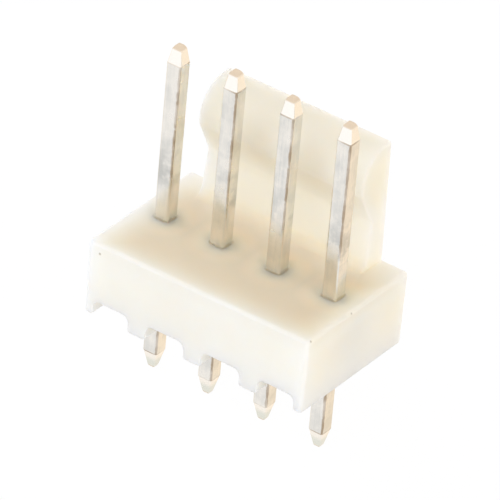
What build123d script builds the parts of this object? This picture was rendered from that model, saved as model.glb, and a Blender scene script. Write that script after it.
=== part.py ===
"""Four-way pin header, 2.54 mm pitch: a nylon housing with a locking wall, and four square pins."""

from build123d import *
import os

os.makedirs("parts", exist_ok=True)

# Millimetres. The circuit board lies in the XY plane under the housing and the pin row lies on the
# X axis. Y points to the side with the locking wall and Z points up, along the pins.

# Pin row
pitch = 2.54
pin_count = 4
pin_positions = [(number - (pin_count - 1) / 2) * pitch for number in range(pin_count)]

# Pins: square wire with drawn, slightly round edges and a coined taper at each end
pin_side = 0.64
pin_edge_radius = 0.09
pin_end_side = 0.31
pin_end_edge_radius = 0.05
pin_end_rounding = 0.06
contact_tip_level = 10.63
contact_taper = 0.72
tail_tip_level = -3.48
tail_taper = 0.74

# Barbs that hold a pin in the nylon, on its two sides that face along the row
barb_height = 0.05
barb_width = 0.30
barb_bottom_level = 1.45
barb_top_level = 2.05

# Base of the housing: the pin row runs along its middle
end_relief = 0.10
base_length = pin_count * pitch - 2 * end_relief
base_end_draft = 0.05
base_height = 3.18
base_depth = 6.32
base_back = base_depth / 2
base_edge_radius = 0.16

# Flux channels across the underside, one below each pin, left open between narrow feet
foot_width = 0.80
end_foot_width = 0.35
foot_edge_radius = 0.12
channel_height = 0.66
channel_corner_radius = 0.30

# Lead-in around each pin on top of the base
lead_in = 0.06

# Locking wall: its back is flush with the back of the base, its nose is what the mating plug
# snaps under. Heights are above the top of the base, thicknesses are from the back.
wall_length = 7.38
wall_end_draft = 0.11
wall_height = 5.11
wall_buried = 0.60
nose_thickness = 1.71
nose_top_radius = 1.35
nose_face_height = 0.32
nose_low_radius = 0.70
neck_thickness = 0.88
neck_height = 1.93
neck_radius = 0.90
root_thickness = 1.10
root_radius = 0.45
wall_back_edge_radius = 0.10
wall_end_edge_radius = 0.12

# Pins, each made in its own place in the row
contact_shoulder_level = contact_tip_level - contact_taper
tail_shoulder_level = tail_tip_level + tail_taper
pins = []
for number, position in enumerate(pin_positions, start=1):
    with BuildPart() as pin:
        # Straight shank
        with BuildSketch(Plane.XY.offset(tail_shoulder_level)):
            with Locations((position, 0)):
                RectangleRounded(pin_side, pin_side, pin_edge_radius)
        extrude(amount=contact_shoulder_level - tail_shoulder_level)

        # Taper of the contact end
        with BuildSketch(Plane.XY.offset(contact_shoulder_level)):
            with Locations((position, 0)):
                RectangleRounded(pin_side, pin_side, pin_edge_radius)
        with BuildSketch(Plane.XY.offset(contact_tip_level)):
            with Locations((position, 0)):
                RectangleRounded(pin_end_side, pin_end_side, pin_end_edge_radius)
        loft(ruled=True)

        # Taper of the solder tail
        with BuildSketch(Plane.XY.offset(tail_shoulder_level)):
            with Locations((position, 0)):
                RectangleRounded(pin_side, pin_side, pin_edge_radius)
        with BuildSketch(Plane.XY.offset(tail_tip_level)):
            with Locations((position, 0)):
                RectangleRounded(pin_end_side, pin_end_side, pin_end_edge_radius)
        loft(ruled=True)

        # Softened end faces
        fillet(pin.faces().sort_by(Axis.Z)[-1].edges(), radius=pin_end_rounding)
        fillet(pin.faces().sort_by(Axis.Z)[0].edges(), radius=pin_end_rounding)

        # Barbs: flat on top, sloping back to the shank below
        with BuildSketch(Plane.XZ.offset(-barb_width / 2)):
            with BuildLine():
                Polyline(
                    (position - pin_side / 2 - barb_height, barb_top_level),
                    (position + pin_side / 2 + barb_height, barb_top_level),
                    (position + pin_side / 2, barb_bottom_level),
                    (position - pin_side / 2, barb_bottom_level),
                    close=True,
                )
            make_face()
        extrude(amount=barb_width)
    pin.part.label = f"pin_{number}"
    export_step(pin.part, f"parts/pin_{number}.step")
    pins.append(pin.part)

# Locking wall: a side outline drawn along the row, trimmed to ends that lean in towards the top
wall_foot_length = wall_length + 2 * wall_end_draft
wall_foot_level = base_height - wall_buried
wall_top_level = base_height + wall_height
nose_low_level = wall_top_level - nose_top_radius - nose_face_height
neck_level = base_height + neck_height
with BuildPart() as wall:
    with BuildSketch(Plane.YZ.offset(-wall_foot_length / 2)) as wall_outline:
        with BuildLine():
            Polyline(
                (base_back, wall_foot_level),
                (base_back, wall_top_level),
                (base_back - nose_thickness, wall_top_level),
                (base_back - nose_thickness, nose_low_level),
                (base_back - neck_thickness, neck_level),
                (base_back - root_thickness, base_height),
                (base_back - root_thickness - 2 * root_radius, base_height),
                (base_back - root_thickness - 2 * root_radius, wall_foot_level),
                close=True,
            )
        make_face()
        rounded_corners = {
            nose_top_radius: (base_back - nose_thickness, wall_top_level),
            wall_back_edge_radius: (base_back, wall_top_level),
            nose_low_radius: (base_back - nose_thickness, nose_low_level),
            neck_radius: (base_back - neck_thickness, neck_level),
            root_radius: (base_back - root_thickness, base_height),
        }
        for radius, corner in rounded_corners.items():
            fillet(wall_outline.vertices().sort_by_distance(corner)[0], radius=radius)
    extrude(amount=wall_foot_length)

    with BuildSketch(Plane.XZ.offset(-base_back)):
        with BuildLine():
            Polyline(
                (-wall_foot_length / 2, wall_foot_level),
                (wall_foot_length / 2, wall_foot_level),
                (wall_length / 2, wall_top_level),
                (-wall_length / 2, wall_top_level),
                close=True,
            )
        make_face()
    extrude(amount=base_depth, mode=Mode.INTERSECT)

    # Round edges of the two ends: all but the bottom one and the back one
    for wall_end_position in (-wall_length / 2, wall_length / 2):
        wall_end = wall.faces().filter_by(Axis.X, tolerance=5).sort_by_distance(
            (wall_end_position, base_back, neck_level)
        )[0]
        end_edges = wall_end.edges().sort_by(Axis.Z)[1:].sort_by(Axis.Y)[:-1]
        fillet(end_edges, radius=wall_end_edge_radius)

# Housing: base and locking wall in one moulding
with BuildPart() as housing:
    # Base: a front view with leaning ends, drawn through the depth
    with BuildSketch(Plane.XZ.offset(-base_back)):
        with BuildLine():
            Polyline(
                (-base_length / 2 + base_end_draft, 0),
                (base_length / 2 - base_end_draft, 0),
                (base_length / 2, base_height),
                (-base_length / 2, base_height),
                close=True,
            )
        make_face()
    extrude(amount=base_depth)
    corner_edges = housing.edges().filter_by(Axis.Z, tolerance=5)
    top_edges = housing.faces().sort_by(Axis.Z)[-1].edges()
    fillet(corner_edges + top_edges, radius=base_edge_radius)

    # Flux channels: the underside from end foot to end foot, less the feet between the pins
    with BuildSketch(Plane.XZ.offset(-base_back)) as channels:
        Rectangle(base_length - 2 * (base_end_draft + end_foot_width), 2 * channel_height)
        with GridLocations(pitch, 0, pin_count - 1, 1):
            Rectangle(foot_width, 2 * channel_height, mode=Mode.SUBTRACT)
        fillet(channels.vertices().group_by(Axis.Y)[-1], radius=channel_corner_radius)
    extrude(amount=base_depth, mode=Mode.SUBTRACT)
    foot_edges = housing.edges().filter_by(Axis.Y).filter_by_position(Axis.Z, -0.01, 0.01)
    fillet(foot_edges, radius=foot_edge_radius)

    # The wall, sunk into the base as far as its round root
    add(wall.part)

    # Holes that the pins fill, and their lead-in
    for pin_solid in pins:
        add(pin_solid, mode=Mode.SUBTRACT)
    lead_in_edges = housing.edges().filter_by(
        lambda edge: abs(edge.center().Z - base_height) < 0.001 and edge.length < pin_side
        and abs(edge.center().Y) < pin_side
    )
    chamfer(lead_in_edges, length=lead_in)
housing.part.label = "housing"
export_step(housing.part, "parts/housing.step")
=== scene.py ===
# %% [markdown]
# # A four-way pin header
#
# This lesson dresses a small board connector: a block of natural nylon with a locking wall at its
# back, and four square pins with bright tin plating. The lesson adds the finish of the nylon, the
# pins as they look after drawing, coining, plating and cutting, and a small studio.
#
# The first cell loads the model and notes the box that it fills.

import math

import bmesh
import bpy
from mathutils import Matrix, Vector


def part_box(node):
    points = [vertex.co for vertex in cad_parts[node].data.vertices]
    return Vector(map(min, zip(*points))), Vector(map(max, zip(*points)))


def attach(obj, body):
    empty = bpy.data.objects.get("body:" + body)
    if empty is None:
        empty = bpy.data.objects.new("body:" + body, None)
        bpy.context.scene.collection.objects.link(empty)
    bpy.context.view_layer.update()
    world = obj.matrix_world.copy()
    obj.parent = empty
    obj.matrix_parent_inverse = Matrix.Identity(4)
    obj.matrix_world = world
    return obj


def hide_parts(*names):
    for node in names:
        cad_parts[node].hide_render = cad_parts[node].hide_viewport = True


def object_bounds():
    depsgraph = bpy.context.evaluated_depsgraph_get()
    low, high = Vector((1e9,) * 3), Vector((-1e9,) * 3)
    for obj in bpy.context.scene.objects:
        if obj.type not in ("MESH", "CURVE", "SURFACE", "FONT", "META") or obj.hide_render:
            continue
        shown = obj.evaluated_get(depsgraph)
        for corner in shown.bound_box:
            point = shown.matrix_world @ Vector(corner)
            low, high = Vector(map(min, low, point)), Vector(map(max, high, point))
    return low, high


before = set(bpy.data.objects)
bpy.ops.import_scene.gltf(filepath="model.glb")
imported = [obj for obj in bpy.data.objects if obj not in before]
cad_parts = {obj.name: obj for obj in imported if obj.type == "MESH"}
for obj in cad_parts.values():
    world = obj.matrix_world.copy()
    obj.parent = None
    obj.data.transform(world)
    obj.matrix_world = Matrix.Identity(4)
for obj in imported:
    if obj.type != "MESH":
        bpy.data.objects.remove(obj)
cad_box = [list(corner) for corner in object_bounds()]
MM = 0.001
PITCH = 2.54 * MM
pin_names = sorted(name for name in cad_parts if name.startswith("pin_"))
print("CAD box in mm:", [[round(value / MM, 2) for value in corner] for corner in cad_box])
print("pins:", pin_names)

# %% [markdown]
# ## Helpers for materials
#
# Colours are easy to read and to compare as sRGB hex values, but shaders work with linear light, so
# one function turns the first into the second. A second function adds any node, with its
# settings and with what goes into its sockets: a value or another node's output. The third starts
# an empty material. With these three, a material reads from top to bottom like a recipe, which is
# easier to follow than lines that create, set and connect each node one after the other.

# %% Colour and node helpers
def linear(hex_colour):
    """An sRGB hex colour as linear red, green and blue, with an alpha of 1."""
    channels = [int(hex_colour[i:i + 2], 16) / 255 for i in (1, 3, 5)]
    return [c / 12.92 if c <= 0.04045 else ((c + 0.055) / 1.055) ** 2.4 for c in channels] + [1.0]


def add_node(tree, kind, inputs=(), **settings):
    """A new node with its settings, and a value or a link for each of the given sockets."""
    new = tree.nodes.new(kind)
    for name, value in settings.items():
        setattr(new, name, value)
    for socket, value in dict(inputs).items():
        if isinstance(value, bpy.types.NodeSocket):
            tree.links.new(value, new.inputs[socket])
        else:
            new.inputs[socket].default_value = value
    return new


def new_material(name):
    """A material with an empty node tree, and the tree."""
    material = bpy.data.materials.new(name)
    material.use_nodes = True
    material.node_tree.nodes.clear()
    return material, material.node_tree


print("ivory in linear light:", [round(value, 3) for value in linear("#F2ECDE")])

# %% [markdown]
# ## Natural nylon: the colour of the melt
#
# The housing is moulded in nylon 66 without any dye, which is ivory. The melt cools at slightly
# different speeds along the mould and leaves soft clouds in the colour. A slow noise, about 3 mm
# across, moves the colour between two close ivories. It reads Object coordinates, so it runs through
# the solid as the real clouds do, without seams and without an image.

# %% Ivory melt
nylon, tree = new_material("moulded_natural_nylon")
CLOUD_WIDTH = 3 * MM
place = add_node(tree, "ShaderNodeTexCoord")
clouds = add_node(tree, "ShaderNodeTexNoise", {
    "Vector": place.outputs["Object"], "Scale": 1 / CLOUD_WIDTH, "Detail": 2.0, "Roughness": 0.5,
})
ivory = add_node(tree, "ShaderNodeValToRGB", {"Fac": clouds.outputs["Fac"]})
for stop, position, hex_colour in zip(ivory.color_ramp.elements, (0.30, 0.70), ("#F2ECDE", "#F5F0E4")):
    stop.position = position
    stop.color = linear(hex_colour)
print("material:", nylon.name)

# %% [markdown]
# ## Natural nylon: where the moulding is thick, and painted shade on top
#
# Undyed nylon takes a little blue out of the light that wanders through it. The more plastic the
# light has passed, the yellower it comes out, so the top of the block is yellower in its middle than
# at its edges. The tint is partly that and partly painted shade: the upward faces get less light than
# the upright ones and look darker and yellower, and this tint paints that onto the top. A volume
# shader could follow the light all the way, but it is slow and noisy at this size. It is enough to
# know how deep a point lies behind the nearest side of the block: the smallest of four distances
# says that, and it is faded in only just under the top. The nose of the wall is thick as well and
# gets a quarter of the same tint, which is also painted shade on its upward slope.

# %% Depth behind the nearest side
block_low, block_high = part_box("housing")
half = (block_high - block_low) / 2
WALL_FACE = 2.15 * MM
# The tinted part lies a little to the right of the middle of the block, as painted shade from light
# that comes more from the left.
LEFT_REACH, RIGHT_REACH = half.x - 0.4 * MM, half.x + 0.25 * MM
point = add_node(tree, "ShaderNodeSeparateXYZ", {"Vector": place.outputs["Object"]})
x, y, z = (point.outputs[axis] for axis in "XYZ")
from_sides = [
    add_node(tree, "ShaderNodeMath", {0: y, 1: half.y}),
    add_node(tree, "ShaderNodeMath", {0: WALL_FACE, 1: y}, operation="SUBTRACT"),
    add_node(tree, "ShaderNodeMath", {0: x, 1: LEFT_REACH}),
    add_node(tree, "ShaderNodeMath", {0: RIGHT_REACH, 1: x}, operation="SUBTRACT"),
]
depth = from_sides[0]
for distance in from_sides[1:]:
    depth = add_node(tree, "ShaderNodeMath", {0: depth.outputs[0], 1: distance.outputs[0]},
                     operation="MINIMUM")
deep = add_node(tree, "ShaderNodeMapRange", {
    "Value": depth.outputs[0], "From Min": -0.6 * MM, "From Max": 1.5 * MM,
}, interpolation_type="SMOOTHSTEP")
print("block in mm:", [round(2 * value / MM, 2) for value in half])

# %% Tint and painted shade under the top and in the nose
near_top = add_node(tree, "ShaderNodeMapRange", {
    "Value": z, "From Min": 2.5 * MM, "From Max": 3.1 * MM,
}, interpolation_type="SMOOTHSTEP")
below_wall = add_node(tree, "ShaderNodeMapRange", {
    "Value": z, "From Min": 3.3 * MM, "From Max": 3.8 * MM, "To Min": 1.0, "To Max": 0.0,
}, interpolation_type="SMOOTHSTEP")
on_top = add_node(tree, "ShaderNodeMath", {0: near_top.outputs["Result"], 1: below_wall.outputs["Result"]},
                  operation="MULTIPLY")
deep_and_shaded_top = add_node(tree, "ShaderNodeMath", {0: deep.outputs["Result"], 1: on_top.outputs[0]},
                       operation="MULTIPLY")
nose_tint_and_shade = add_node(tree, "ShaderNodeMapRange", {
    "Value": z, "From Min": 5.3 * MM, "From Max": 6.3 * MM, "To Min": 0.0, "To Max": 0.25,
}, interpolation_type="SMOOTHSTEP")
yellow_and_painted_shade = add_node(tree, "ShaderNodeMath", {0: deep_and_shaded_top.outputs[0], 1: nose_tint_and_shade.outputs["Result"]},
                  operation="MAXIMUM")
print("share of the tint in the nose:", nose_tint_and_shade.inputs["To Max"].default_value)

# %% [markdown]
# ## Natural nylon: painted light beside the pins
#
# Each pin blocks light that would have passed through the nylon, so a shader with one colour leaves
# a dark stain round every pin. The real pins are bright and throw much of that light back. Within
# about a millimetre of a pin the tint is therefore a lighter one: painted light in the place of the
# light that the pins throw back. Wrapping X by the pitch gives the distance to the nearest pin in one
# step, with no need for a node per pin.

# %% Painted light: lighter tint round each pin
off_middle = add_node(tree, "ShaderNodeMath", {0: x, 1: PITCH / 2}, operation="SUBTRACT")
beside_pin = add_node(tree, "ShaderNodeMath", {0: off_middle.outputs[0], 1: PITCH / 2, 2: -PITCH / 2},
                      operation="WRAP")
beside_pin = add_node(tree, "ShaderNodeCombineXYZ", {"X": beside_pin.outputs[0], "Y": y})
from_pin = add_node(tree, "ShaderNodeVectorMath", {0: beside_pin.outputs["Vector"]}, operation="LENGTH")
painted_pin_light = add_node(tree, "ShaderNodeMapRange", {
    "Value": from_pin.outputs["Value"], "From Min": 0.6 * MM, "From Max": 1.6 * MM,
    "To Min": 1.0, "To Max": 0.0,
}, interpolation_type="SMOOTHSTEP")
THICK_AND_SHADED_TINT, PIN_LIGHT_TINT = "#ECDFC3", "#FFE8C8"
thick_and_shaded = add_node(tree, "ShaderNodeMix", {
    "Factor": painted_pin_light.outputs["Result"], "A": linear(THICK_AND_SHADED_TINT), "B": linear(PIN_LIGHT_TINT),
}, data_type="RGBA")
melt_and_shade = add_node(tree, "ShaderNodeMix", {
    "Factor": yellow_and_painted_shade.outputs[0], "A": ivory.outputs["Color"], "B": thick_and_shaded.outputs["Result"],
}, data_type="RGBA")
print("tint of thick nylon:", THICK_AND_SHADED_TINT, "and beside a pin:", PIN_LIGHT_TINT)

# %% [markdown]
# ## Natural nylon: burnt specks
#
# A few grains of nylon scorch in the barrel of the moulding machine and come out as tiny tan specks.
# Three of them show on this housing. A speck is a small ball of darker colour inside the material:
# the distance from its middle fades it out. That is simpler than a painted mask and stays sharp at
# any size of picture.

# %% Burnt specks
SPECKS_IN_MM = ((-4.42, -3.15, 2.77), (4.98, -0.45, 3.12), (4.95, -2.95, 3.14))
melt_and_shade_colour = melt_and_shade.outputs["Result"]
for speck_place in SPECKS_IN_MM:
    from_speck = add_node(tree, "ShaderNodeVectorMath", {
        0: place.outputs["Object"], 1: [value * MM for value in speck_place],
    }, operation="DISTANCE")
    speck = add_node(tree, "ShaderNodeMapRange", {
        "Value": from_speck.outputs["Value"], "From Min": 0.03 * MM, "From Max": 0.07 * MM,
        "To Min": 0.8, "To Max": 0.0,
    })
    melt_and_shade_colour = add_node(tree, "ShaderNodeMix", {
        "Factor": speck.outputs["Result"], "A": melt_and_shade_colour, "B": linear("#B4A78F"),
    }, data_type="RGBA").outputs["Result"]
print("specks:", len(SPECKS_IN_MM))

# %% [markdown]
# ## Natural nylon: grain and soft light
#
# The steel of the mould was spark-eroded and leaves its fine grain on the plastic, which makes it
# satin. The real grain is near 0.03 mm, too fine to show, so it is drawn at 0.12 mm with very little
# height. One noise drives both the roughness and the bump, so that they agree.
#
# Light goes about a millimetre and a half into the nylon before it comes out again, red light a
# little deeper than blue. That softens every edge, and light from behind comes through the thin part
# of the locking wall. So the shader scatters all its light below the surface, at that real depth.

# %% Moulded grain and the nylon shader
GRAIN_WIDTH = 0.12 * MM
grain = add_node(tree, "ShaderNodeTexNoise", {
    "Vector": place.outputs["Object"], "Scale": 1 / GRAIN_WIDTH, "Detail": 3.0, "Roughness": 0.6,
})
satin = add_node(tree, "ShaderNodeMapRange", {
    "Value": grain.outputs["Fac"], "From Min": 0.3, "From Max": 0.7, "To Min": 0.55, "To Max": 0.68,
})
relief = add_node(tree, "ShaderNodeBump", {
    "Height": grain.outputs["Fac"], "Distance": 0.003 * MM, "Strength": 0.5,
})
shader = add_node(tree, "ShaderNodeBsdfPrincipled", {
    "Base Color": melt_and_shade_colour,
    "Roughness": satin.outputs["Result"],
    "Normal": relief.outputs["Normal"],
    "IOR": 1.53,
    "Subsurface Weight": 1.0,
    "Subsurface Radius": (1.0, 0.92, 0.80),
    "Subsurface Scale": 1.6 * MM,
})
add_node(tree, "ShaderNodeOutputMaterial", {"Surface": shader.outputs["BSDF"]})
print("nodes in the nylon:", len(tree.nodes))

# %% [markdown]
# ## Bright tin: drawn wire
#
# The pins are brass wire, drawn through a square die, coined at both ends and plated with bright
# tin. The plating is thin and keeps the marks of the die: fine lines along the wire. Scaling the
# coordinates unevenly makes a noise that is short across the wire and long along it. A second noise
# leaves soft patches, a little duller or brighter, as tin has after handling. The two are mixed and
# steer a ramp between a grey and a warm silver.

# %% Die lines and patches
tin, tree = new_material("bright_tin_plating")
LINE_WIDTH, LINE_LENGTH, PATCH_WIDTH = 0.09 * MM, 2.0 * MM, 0.9 * MM
place = add_node(tree, "ShaderNodeTexCoord")
point = add_node(tree, "ShaderNodeSeparateXYZ", {"Vector": place.outputs["Object"]})
x, y, z = (point.outputs[axis] for axis in "XYZ")
along_wire = add_node(tree, "ShaderNodeMapping", {
    "Vector": place.outputs["Object"], "Scale": (1 / LINE_WIDTH, 1 / LINE_WIDTH, 1 / LINE_LENGTH),
})
die_lines = add_node(tree, "ShaderNodeTexNoise", {
    "Vector": along_wire.outputs["Vector"], "Scale": 1.0, "Detail": 3.0, "Roughness": 0.5,
})
patches = add_node(tree, "ShaderNodeTexNoise", {
    "Vector": place.outputs["Object"], "Scale": 1 / PATCH_WIDTH, "Detail": 3.0, "Roughness": 0.55,
})
cloudy = add_node(tree, "ShaderNodeMix", {
    "Factor": 0.25, "A": patches.outputs["Fac"], "B": die_lines.outputs["Fac"],
}, data_type="FLOAT")
silver = add_node(tree, "ShaderNodeValToRGB", {"Fac": cloudy.outputs["Result"]})
for stop, position, hex_colour in zip(silver.color_ramp.elements, (0.38, 0.60), ("#DFDDD8", "#F2EEE7")):
    stop.position = position
    stop.color = linear(hex_colour)
print("material:", tin.name)

# %% [markdown]
# ## Bright tin: coined ends
#
# The coining die is polished, and the tapers at both ends of a pin are painted brighter than the
# drawn sides: partly that polish, and partly a painted highlight for the brighter light that the
# tapers mirror. The last half millimetre of a solder tail is greyer again. Both depend only on the
# height along the pin, so a range of Z is all the mask they need.

# %% Painted highlight on the tapers, and grey tail ends
COINED_HIGHLIGHT_SHARE = 0.85
on_upper_taper = add_node(tree, "ShaderNodeMapRange", {
    "Value": z, "From Min": 9.90 * MM, "From Max": 9.93 * MM,
})
on_lower_taper = add_node(tree, "ShaderNodeMapRange", {
    "Value": z, "From Min": -2.78 * MM, "From Max": -2.75 * MM, "To Min": 1.0, "To Max": 0.0,
})
coined_highlight = add_node(tree, "ShaderNodeMath", {
    0: on_upper_taper.outputs["Result"], 1: on_lower_taper.outputs["Result"],
}, operation="MAXIMUM")
coined_highlight = add_node(tree, "ShaderNodeMath", {0: coined_highlight.outputs[0], 1: COINED_HIGHLIGHT_SHARE}, operation="MULTIPLY")
silver = add_node(tree, "ShaderNodeMix", {
    "Factor": coined_highlight.outputs[0], "A": silver.outputs["Color"], "B": linear("#FCF8F2"),
}, data_type="RGBA")
toward_tail_end = add_node(tree, "ShaderNodeMapRange", {
    "Value": z, "From Min": -3.20 * MM, "From Max": -2.90 * MM, "To Min": 1.0, "To Max": 0.0,
}, interpolation_type="SMOOTHSTEP")
silver = add_node(tree, "ShaderNodeMix", {
    "Factor": toward_tail_end.outputs["Result"], "A": silver.outputs["Result"], "B": linear("#E3E7E2"),
}, data_type="RGBA")
print("share of the brighter colour on the tapers:", COINED_HIGHLIGHT_SHARE)

# %% [markdown]
# ## Bright tin: painted dark reflection half-way up
#
# Half-way up the pins the tin is painted duller, in blotches: a painted reflection of the shaded
# paper just in front of the header, which the real pins mirror there. The mask is a band of heights,
# broken up by the patches that are already there, so the dull spots follow the clouds in the metal
# and no hard edge shows.

# %% Painted dark reflection half-way up
half_way = add_node(tree, "ShaderNodeMapRange", {
    "Value": z, "From Min": 5.2 * MM, "From Max": 7.0 * MM, "To Min": 1.0, "To Max": 0.0,
}, interpolation_type="SMOOTHSTEP")
above_base = add_node(tree, "ShaderNodeMapRange", {
    "Value": z, "From Min": 4.6 * MM, "From Max": 5.0 * MM,
})
blotches = add_node(tree, "ShaderNodeMapRange", {
    "Value": patches.outputs["Fac"], "From Min": 0.38, "From Max": 0.56, "To Min": 1.0, "To Max": 0.15,
}, interpolation_type="SMOOTHSTEP")
dark_reflection_band = half_way.outputs["Result"]
for part in (above_base.outputs["Result"], blotches.outputs["Result"], 0.8):
    dark_reflection_band = add_node(tree, "ShaderNodeMath", {0: dark_reflection_band, 1: part}, operation="MULTIPLY").outputs[0]
silver = add_node(tree, "ShaderNodeMix", {
    "Factor": dark_reflection_band, "A": silver.outputs["Result"], "B": linear("#C4C3BF"),
}, data_type="RGBA")
print("dull band from 4.6 mm to 7.0 mm")

# %% [markdown]
# ## Bright tin: painted dark line along one edge
#
# A fine brown line wavers along one long edge of each pin, and comes and goes. It is a painted
# reflection: the real pins mirror something dark along that edge, and the line paints it on. The
# line is a mask in the material and not a groove, because it has no depth. X wrapped by the pitch,
# less Y, is largest at the front right edge of every pin, so one threshold finds it on all four.

# %% Painted dark line along one edge
DARK_LINE_START, DARK_LINE_FULL, DARK_LINE_WAVER = 0.560 * MM, 0.578 * MM, 0.018 * MM
off_middle = add_node(tree, "ShaderNodeMath", {0: x, 1: PITCH / 2}, operation="SUBTRACT")
across = add_node(tree, "ShaderNodeMath", {0: off_middle.outputs[0], 1: PITCH / 2, 2: -PITCH / 2},
                  operation="WRAP")
to_corner = add_node(tree, "ShaderNodeMath", {0: across.outputs[0], 1: y}, operation="SUBTRACT")
waver = add_node(tree, "ShaderNodeTexNoise", {
    "Vector": place.outputs["Object"], "Scale": 1 / (0.35 * MM), "Detail": 4.0, "Roughness": 0.7,
})
wavy = add_node(tree, "ShaderNodeMapRange", {
    "Value": waver.outputs["Fac"], "From Min": 0.3, "From Max": 0.7,
    "To Min": -DARK_LINE_WAVER, "To Max": DARK_LINE_WAVER,
})
corner = add_node(tree, "ShaderNodeMath", {0: to_corner.outputs[0], 1: wavy.outputs["Result"]})
in_dark_line = add_node(tree, "ShaderNodeMapRange", {
    "Value": corner.outputs[0], "From Min": DARK_LINE_START, "From Max": DARK_LINE_FULL,
}, interpolation_type="SMOOTHSTEP")
print("seam wavers by mm:", round(DARK_LINE_WAVER / MM, 3))

# %% How far the painted dark line reaches
above = add_node(tree, "ShaderNodeMapRange", {"Value": z, "From Min": 4.9 * MM, "From Max": 5.3 * MM})
below = add_node(tree, "ShaderNodeMapRange", {
    "Value": z, "From Min": 0.0, "From Max": 0.5 * MM, "To Min": 1.0, "To Max": 0.0,
})
reach = add_node(tree, "ShaderNodeMath", {0: above.outputs["Result"], 1: below.outputs["Result"]},
                 operation="MAXIMUM")
comes_and_goes = add_node(tree, "ShaderNodeMapRange", {
    "Value": patches.outputs["Fac"], "From Min": 0.40, "From Max": 0.60, "To Min": 1.0, "To Max": 0.45,
})
reach = add_node(tree, "ShaderNodeMath", {0: reach.outputs[0], 1: comes_and_goes.outputs["Result"]},
                 operation="MULTIPLY")
dark_line = add_node(tree, "ShaderNodeMath", {0: in_dark_line.outputs["Result"], 1: reach.outputs[0]},
                operation="MULTIPLY")
# The thin edge in this print is the painted dark line, a painted reflection.
print("the thin edge shows above 4.9 mm and below 0.5 mm")

# %% [markdown]
# ## Bright tin: shoulders and cut ends
#
# A coining die creases the wire where each taper starts, and that crease is painted dark too:
# painted shade in the crease. It gets the same brown, as a line 0.03 mm to either side of the
# crease, broken up by the blotches.
#
# Such pins are often plated as a long strip and cut apart afterwards, which leaves end faces of bare
# brass that turns dull. Two ranges of Z pick out just those faces.

# %% Painted shade on the shoulders
SHOULDERS = (9.90 * MM, -2.75 * MM)
for level in SHOULDERS:
    off_level = add_node(tree, "ShaderNodeMath", {0: z, 1: level}, operation="SUBTRACT")
    off_level = add_node(tree, "ShaderNodeMath", {0: off_level.outputs[0]}, operation="ABSOLUTE")
    crease = add_node(tree, "ShaderNodeMapRange", {
        "Value": off_level.outputs[0], "From Min": 0.015 * MM, "From Max": 0.035 * MM,
        "To Min": 0.9, "To Max": 0.0,
    })
    crease = add_node(tree, "ShaderNodeMath", {0: crease.outputs["Result"], 1: blotches.outputs["Result"]},
                      operation="MULTIPLY")
    dark_line = add_node(tree, "ShaderNodeMath", {0: dark_line.outputs[0], 1: crease.outputs[0]}, operation="MAXIMUM")
# The brown is the painted dark line on the edge and the painted shade in the creases.
plating = add_node(tree, "ShaderNodeMix", {
    "Factor": dark_line.outputs[0], "A": silver.outputs["Result"], "B": linear("#B3A28D"),
}, data_type="RGBA")
print("shoulders at mm:", [round(level / MM, 2) for level in SHOULDERS])

# %% Bare cut ends
upper_cut = add_node(tree, "ShaderNodeMapRange", {
    "Value": z, "From Min": 10.46 * MM, "From Max": 10.52 * MM,
})
lower_cut = add_node(tree, "ShaderNodeMapRange", {
    "Value": z, "From Min": -3.44 * MM, "From Max": -3.40 * MM, "To Min": 1.0, "To Max": 0.0,
})
cut_end = add_node(tree, "ShaderNodeMath", {0: upper_cut.outputs["Result"], 1: lower_cut.outputs["Result"]},
                   operation="MAXIMUM")
metal_colour = add_node(tree, "ShaderNodeMix", {
    "Factor": cut_end.outputs[0], "A": plating.outputs["Result"], "B": linear("#E6DACB"),
}, data_type="RGBA")
print("bare brass above 10.46 mm and below -3.40 mm")

# %% [markdown]
# ## Bright tin: gloss
#
# Bright tin is glossy, with a roughness from 0.12 to 0.28 that follows the patches. Bare brass is
# duller, and the painted dark line lies half-way. The die lines give a bump of about a thousandth of a
# millimetre, enough to stretch reflections along the wire. A metal takes its colour from the
# base colour, so it needs no other setting.

# %% The tin shader
BARE_ROUGHNESS = 0.35
# Half of the painted dark line takes the roughness of bare brass.
bare = add_node(tree, "ShaderNodeMath", {0: dark_line.outputs[0], 1: 0.5}, operation="MULTIPLY")
bare = add_node(tree, "ShaderNodeMath", {0: bare.outputs[0], 1: cut_end.outputs[0]}, operation="MAXIMUM")
handled = add_node(tree, "ShaderNodeMapRange", {
    "Value": patches.outputs["Fac"], "From Min": 0.35, "From Max": 0.70, "To Min": 0.12, "To Max": 0.28,
})
gloss = add_node(tree, "ShaderNodeMath", {0: bare.outputs[0], 1: BARE_ROUGHNESS, 2: handled.outputs["Result"]},
                 operation="MULTIPLY_ADD")
marks = add_node(tree, "ShaderNodeBump", {
    "Height": die_lines.outputs["Fac"], "Distance": 0.0015 * MM, "Strength": 0.4,
})
shader = add_node(tree, "ShaderNodeBsdfPrincipled", {
    "Base Color": metal_colour.outputs["Result"],
    "Roughness": gloss.outputs[0],
    "Normal": marks.outputs["Normal"],
    "Metallic": 1.0,
})
add_node(tree, "ShaderNodeOutputMaterial", {"Surface": shader.outputs["BSDF"]})
print("nodes in the tin:", len(tree.nodes))

# %% [markdown]
# ## The housing
#
# The CAD model already has the shape of the moulding, down to the round root of the locking wall, so
# modelling it again would only lose accuracy. Its mesh is made of loose triangles, though, which
# shade as flat facets. A copy of it is merged into one skin and shaded smooth, and a Weighted Normal
# modifier keeps the large flat faces flat, so only the round edges and the nose of the wall look
# round.

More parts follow.
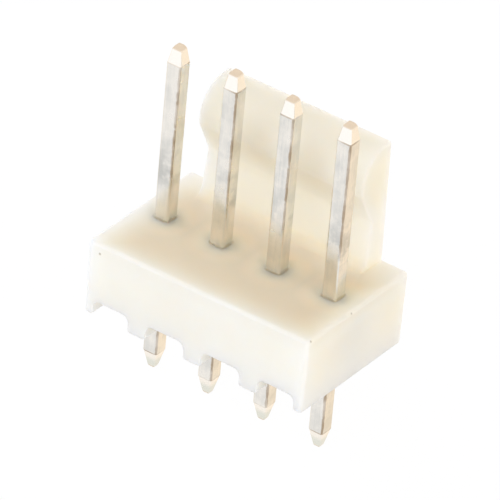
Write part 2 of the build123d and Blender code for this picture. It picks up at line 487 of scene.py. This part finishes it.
# %% Smooth copy of the housing
def smooth_copy(node_name, piece_name, material, sharp_angle):
    """A merged, smoothly shaded copy of a CAD node, which takes the node's place."""
    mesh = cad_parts[node_name].data.copy()
    mesh.name = piece_name
    bm = bmesh.new()
    bm.from_mesh(mesh)
    bmesh.ops.remove_doubles(bm, verts=bm.verts, dist=0.0005 * MM)
    for face in bm.faces:
        face.smooth = True
    for edge in bm.edges:
        edge.smooth = len(edge.link_faces) == 2 and edge.calc_face_angle() < sharp_angle
    bm.to_mesh(mesh)
    bm.free()
    mesh.materials.clear()
    mesh.materials.append(material)
    piece = bpy.data.objects.new(piece_name, mesh)
    bpy.context.scene.collection.objects.link(piece)
    weighted = piece.modifiers.new("flat_faces_stay_flat", "WEIGHTED_NORMAL")
    weighted.keep_sharp = True
    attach(piece, "root")
    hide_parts(node_name)
    return piece


moulding = smooth_copy("housing", "nylon_moulding", nylon, math.radians(35))
print("housing faces:", len(moulding.data.polygons))

# %% [markdown]
# ## The coining die
#
# Both ends of a pin are pressed to a taper in a die. Its profile is a short table: at each distance
# from the end, in millimetres, the share of the wire's width that is left. The contact end is blunt
# with a rounded rim, so that it slides into a plug. The solder tail is narrower, so that it finds its
# hole in the board. A table is easy to read off a side view and easy to change, which is why it is
# used here and not a chain of bevels. The rings where the profile bends are kept as creases.

# %% Profile of the coined ends
WIRE = 0.64 * MM
WIRE_EDGE = 0.09 * MM
CONTACT_DIE = [(0.0, 0.32), (0.04, 0.46), (0.14, 0.65), (0.71, 0.97), (0.73, 1.0)]
TAIL_DIE = [(0.0, 0.36), (0.03, 0.44), (0.08, 0.50), (0.72, 0.96), (0.74, 1.0)]
CONTACT_CREASES = (0.14, 0.71, 0.73)
TAIL_CREASES = (0.08, 0.72, 0.74)


def die_share(die, distance_from_end):
    """Share of the wire's width that the die leaves at a distance from the end."""
    for (near, near_share), (far, far_share) in zip(die, die[1:]):
        if distance_from_end < far * MM:
            part = (distance_from_end / MM - near) / (far - near)
            return near_share + part * (far_share - near_share)
    return 1.0


print("width left 0.3 mm from a contact end:", round(die_share(CONTACT_DIE, 0.3 * MM), 2))

# %% [markdown]
# ## Wire and coining
#
# Each pin is made in the order in which the real one is. First comes a length of square wire, a
# stretched cube whose four long edges get the drawing die's small radius from a bevel. That radius
# draws the thin line of light or dark along every drawn pin.
#
# Then cuts across the wire add rings of points near each end, and drawing those rings in towards the
# axis by the share in the table coins the taper. The creases are marked sharp and everything else is
# smooth, so the faces stay crisp without a single extra face.

# %% Length of drawn wire
def drawn_wire(low, high):
    """Square wire with round edges from one level to another."""
    bm = bmesh.new()
    bmesh.ops.create_cube(bm, size=1.0)
    bmesh.ops.scale(bm, verts=bm.verts, vec=(WIRE, WIRE, high.z - low.z))
    bmesh.ops.translate(bm, verts=bm.verts, vec=(low + high) / 2)
    long_edges = [edge for edge in bm.edges if abs(edge.verts[0].co.z - edge.verts[1].co.z) > MM]
    bmesh.ops.bevel(bm, geom=long_edges, offset=WIRE_EDGE, affect="EDGES", segments=4, profile=0.5,
                    material=-1)
    return bm


print("wire in mm:", round(WIRE / MM, 2), "edge radius:", round(WIRE_EDGE / MM, 2))

# %% Coined ends
def coin_ends(bm, low, high):
    """Draw both ends of the wire in to the die's profile and mark its creases sharp."""
    middle = (low + high) / 2
    cuts = [high.z - distance * MM for distance, share in CONTACT_DIE[1:]]
    cuts += [low.z + distance * MM for distance, share in TAIL_DIE[1:]]
    for cut in cuts:
        bmesh.ops.bisect_plane(bm, geom=bm.verts[:] + bm.edges[:] + bm.faces[:], plane_co=(0, 0, cut),
                               plane_no=(0, 0, 1))
    for corner in bm.verts:
        share = min(die_share(CONTACT_DIE, high.z - corner.co.z), die_share(TAIL_DIE, corner.co.z - low.z))
        corner.co.x = middle.x + (corner.co.x - middle.x) * share
        corner.co.y = middle.y + (corner.co.y - middle.y) * share
    creases = [high.z - distance * MM for distance in CONTACT_CREASES]
    creases += [low.z + distance * MM for distance in TAIL_CREASES]
    for edge in bm.edges:
        edge.smooth = not any(all(abs(corner.co.z - level) < 0.002 * MM for corner in edge.verts)
                              for level in creases)
    for face in bm.faces:
        face.smooth = True


print("cuts across the wire:", len(CONTACT_DIE[1:]) + len(TAIL_DIE[1:]))

# %% [markdown]
# ## Four pins
#
# The four pins are alike, so one function makes them all, each as long as its CAD node and in its
# place. They are four meshes and not four copies of one, because each pin stands for its own CAD
# node and keeps its place in its mesh. Their patterns differ by themselves: the noises run through
# space, and each pin cuts another part out of them.

# %% Four pins in their places
def make_pin(node_name, piece_name):
    """A drawn and coined pin that takes the place of its CAD node."""
    low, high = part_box(node_name)
    bm = drawn_wire(low, high)
    coin_ends(bm, low, high)
    mesh = bpy.data.meshes.new(piece_name)
    bm.to_mesh(mesh)
    bm.free()
    mesh.materials.append(tin)
    piece = bpy.data.objects.new(piece_name, mesh)
    bpy.context.scene.collection.objects.link(piece)
    weighted = piece.modifiers.new("flat_faces_stay_flat", "WEIGHTED_NORMAL")
    weighted.keep_sharp = True
    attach(piece, "root")
    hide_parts(node_name)
    return piece


for node_name in pin_names:
    pin = make_pin(node_name, node_name.replace("pin", "tinned_pin"))
    print(pin.name, "faces:", len(pin.data.polygons))

# %% [markdown]
# ## Floor
#
# The header stands on plain white paper, level with the ends of its solder tails. Paper that is lit
# until it looks white would need so much light that the pale nylon burns out. So to the camera, and
# in the metal, the paper mostly glows by itself, and the small rest of it is lit and keeps a soft
# shadow.
#
# What the pins mirror makes most of their colour. In the metal the paper is white in front of the
# header and brighter far off, and warmer behind it, where it would pick up the colour of the nylon.

# %% Floor
floor_level = cad_box[0][2]
bm = bmesh.new()
bmesh.ops.create_grid(bm, x_segments=1, y_segments=1, size=1.5)
bmesh.ops.translate(bm, verts=bm.verts, vec=(0, 0, floor_level))
mesh = bpy.data.meshes.new("studio_floor")
bm.to_mesh(mesh)
bm.free()
floor = bpy.data.objects.new("studio_floor", mesh)
bpy.context.scene.collection.objects.link(floor)
paper, tree = new_material("white_paper")
mesh.materials.append(paper)
print("floor level in mm:", round(floor_level / MM, 2))

# %% Paper as the metal mirrors it
spot = add_node(tree, "ShaderNodeTexCoord")
far_off = add_node(tree, "ShaderNodeVectorMath", {0: spot.outputs["Object"]}, operation="LENGTH")
far_off = add_node(tree, "ShaderNodeMapRange", {
    "Value": far_off.outputs["Value"], "From Min": 15 * MM, "From Max": 60 * MM,
    "To Min": 1.0, "To Max": 1.12,
}, interpolation_type="SMOOTHSTEP")
spot = add_node(tree, "ShaderNodeSeparateXYZ", {"Vector": spot.outputs["Object"]})
behind = add_node(tree, "ShaderNodeMapRange", {
    "Value": spot.outputs["Y"], "From Min": -1.5 * MM, "From Max": 1.5 * MM,
}, interpolation_type="SMOOTHSTEP")
in_metal = add_node(tree, "ShaderNodeMix", {
    "Factor": behind.outputs["Result"], "A": linear("#FFFFFF"), "B": linear("#FFF0DA"),
}, data_type="RGBA")
level_in_metal = add_node(tree, "ShaderNodeMix", {
    "Factor": behind.outputs["Result"], "A": far_off.outputs["Result"], "B": 1.06,
}, data_type="FLOAT")
glow_in_metal = add_node(tree, "ShaderNodeEmission", {
    "Color": in_metal.outputs["Result"], "Strength": level_in_metal.outputs["Result"],
})
print("paper in the metal: white in front, #FFF0DA behind")

# %% Paper as the camera sees it
GLOW_SHARE = 0.94
rays = add_node(tree, "ShaderNodeLightPath")
seen = add_node(tree, "ShaderNodeMath", {0: rays.outputs["Is Camera Ray"], 1: rays.outputs["Is Glossy Ray"]},
                operation="MAXIMUM")
seen = add_node(tree, "ShaderNodeMath", {0: seen.outputs[0], 1: rays.outputs["Is Transmission Ray"]},
                operation="MAXIMUM")
share = add_node(tree, "ShaderNodeMath", {0: seen.outputs[0], 1: GLOW_SHARE}, operation="MULTIPLY")
matt = add_node(tree, "ShaderNodeBsdfDiffuse", {"Color": linear("#F2F1EF")})
glow = add_node(tree, "ShaderNodeEmission", {"Color": linear("#FFFFFF"), "Strength": 1.02})
glow = add_node(tree, "ShaderNodeMixShader", {
    "Fac": rays.outputs["Is Glossy Ray"], 1: glow.outputs["Emission"], 2: glow_in_metal.outputs["Emission"],
})
mixed = add_node(tree, "ShaderNodeMixShader", {
    "Fac": share.outputs[0], 1: matt.outputs["BSDF"], 2: glow.outputs["Shader"],
})
add_node(tree, "ShaderNodeOutputMaterial", {"Surface": mixed.outputs["Shader"]})
print("share of the glow:", GLOW_SHARE)

# %% [markdown]
# ## Air of the studio
#
# The world is what shows where there is neither header nor floor. The camera sees plain white in it,
# and glossy surfaces mirror a slightly warm white room. It adds no diffuse light: the lamps do that,
# and from known sides. Light Path tells the three kinds of ray apart.

# %% World
world = bpy.data.worlds.new("studio_air")
bpy.context.scene.world = world
world.use_nodes = True
tree = world.node_tree
tree.nodes.clear()
rays = add_node(tree, "ShaderNodeLightPath")
direct = add_node(tree, "ShaderNodeMath", {
    0: rays.outputs["Is Camera Ray"], 1: rays.outputs["Is Transmission Ray"],
}, operation="MAXIMUM")
dark = add_node(tree, "ShaderNodeBackground", {"Color": linear("#FFFFFF"), "Strength": 0.0})
room = add_node(tree, "ShaderNodeBackground", {"Color": linear("#FFF8EE"), "Strength": 1.08})
white = add_node(tree, "ShaderNodeBackground", {"Color": linear("#FFFFFF"), "Strength": 1.0})
mixed = add_node(tree, "ShaderNodeMixShader", {
    "Fac": rays.outputs["Is Glossy Ray"], 1: dark.outputs["Background"], 2: room.outputs["Background"],
})
mixed = add_node(tree, "ShaderNodeMixShader", {
    "Fac": direct.outputs[0], 1: mixed.outputs["Shader"], 2: white.outputs["Background"],
})
add_node(tree, "ShaderNodeOutputWorld", {"Surface": mixed.outputs["Shader"]})
print("world:", world.name)

# %% [markdown]
# ## Lamps
#
# Six soft lamps stand round the header, 0.4 m away. The front one is low and a little cool and makes
# the front of the base the brightest side. A small share from above keeps the upward faces darker
# and yellower than the upright ones. Two lamps light the ends. The two at the back shine through the
# thin wall, and the small low one reaches the foot of the wall, where the big one can't.
#
# A polished pin would mirror such a lamp as a patch of pure white and lose its shape against the
# paper. So the lamps are kept out of reflections, and the pins mirror the paper and the room.

# %% Soft lamps
LAMP_DISTANCE = 0.40
LAMP_HEIGHT = 3 * MM
# Each lamp: azimuth and elevation in degrees, width in metres, watts and colour.
LAMPS = {
    "front_lamp": (0, 10, 0.50, 1.48, "#E0EDFF"),
    "high_lamp": (0, 50, 0.50, 0.56, "#F4F4FF"),
    "right_lamp": (80, 15, 0.50, 1.68, "#FFF9F1"),
    "left_lamp": (-90, 25, 0.50, 1.52, "#F8F9FF"),
    "back_lamp": (180, 10, 0.50, 1.02, "#FFFAF5"),
    "low_back_lamp": (180, 8, 0.15, 0.54, "#FFFBF4"),
}


def soft_lamp(name, azimuth, elevation, size, watts, hex_colour):
    """A square lamp that stands away from the header and faces it."""
    turn, rise = math.radians(azimuth), math.radians(elevation)
    away = Vector((math.sin(turn) * math.cos(rise), -math.cos(turn) * math.cos(rise), math.sin(rise)))
    lamp = bpy.data.lights.new(name, "AREA")
    lamp.size = size
    lamp.energy = watts
    lamp.color = linear(hex_colour)[:3]
    stand = bpy.data.objects.new(name, lamp)
    stand.location = away * LAMP_DISTANCE + Vector((0, 0, LAMP_HEIGHT))
    stand.rotation_euler = away.to_track_quat("Z", "Y").to_euler()
    stand.visible_glossy = False
    bpy.context.scene.collection.objects.link(stand)


for name, setup in LAMPS.items():
    soft_lamp(name, *setup)
print("lamps:", list(LAMPS))

# %% [markdown]
# ## Camera
#
# The picture is taken with a long lens from the front right, looking down at about 33 degrees, with
# the camera tilted a little. The camera is set the same way: it looks at the aim point from a given
# azimuth and elevation, and then rolls about its own axis. A long lens from far off keeps the
# parallel edges of so small a thing nearly parallel.

# %% Camera
AIM = Vector((-0.840, 1.322, 2.371)) * MM
CAMERA_DISTANCE = 282.3 * MM
azimuth, elevation, roll = math.radians(33.26), math.radians(33.44), math.radians(5.29)
outward = Vector((math.sin(azimuth) * math.cos(elevation), -math.cos(azimuth) * math.cos(elevation),
                  math.sin(elevation)))
lens = bpy.data.cameras.new("long_lens")
lens.sensor_width = 36.0
lens.lens = 552.4
lens.clip_start = 10 * MM
lens.clip_end = 10.0
camera = bpy.data.objects.new("camera", lens)
camera.location = AIM + outward * CAMERA_DISTANCE
camera.rotation_euler = (outward.to_track_quat("Z", "Y").to_matrix()
                         @ Matrix.Rotation(roll, 3, "Z")).to_euler()
bpy.context.scene.collection.objects.link(camera)
bpy.context.scene.camera = camera
bpy.context.scene.view_settings.view_transform = "Standard"
print("camera at mm:", [round(value / MM, 1) for value in camera.location])

# %% [markdown]
# ## Finish
#
# The last cell brings the view layer up to date.

# %% View layer update
bpy.context.view_layer.update()
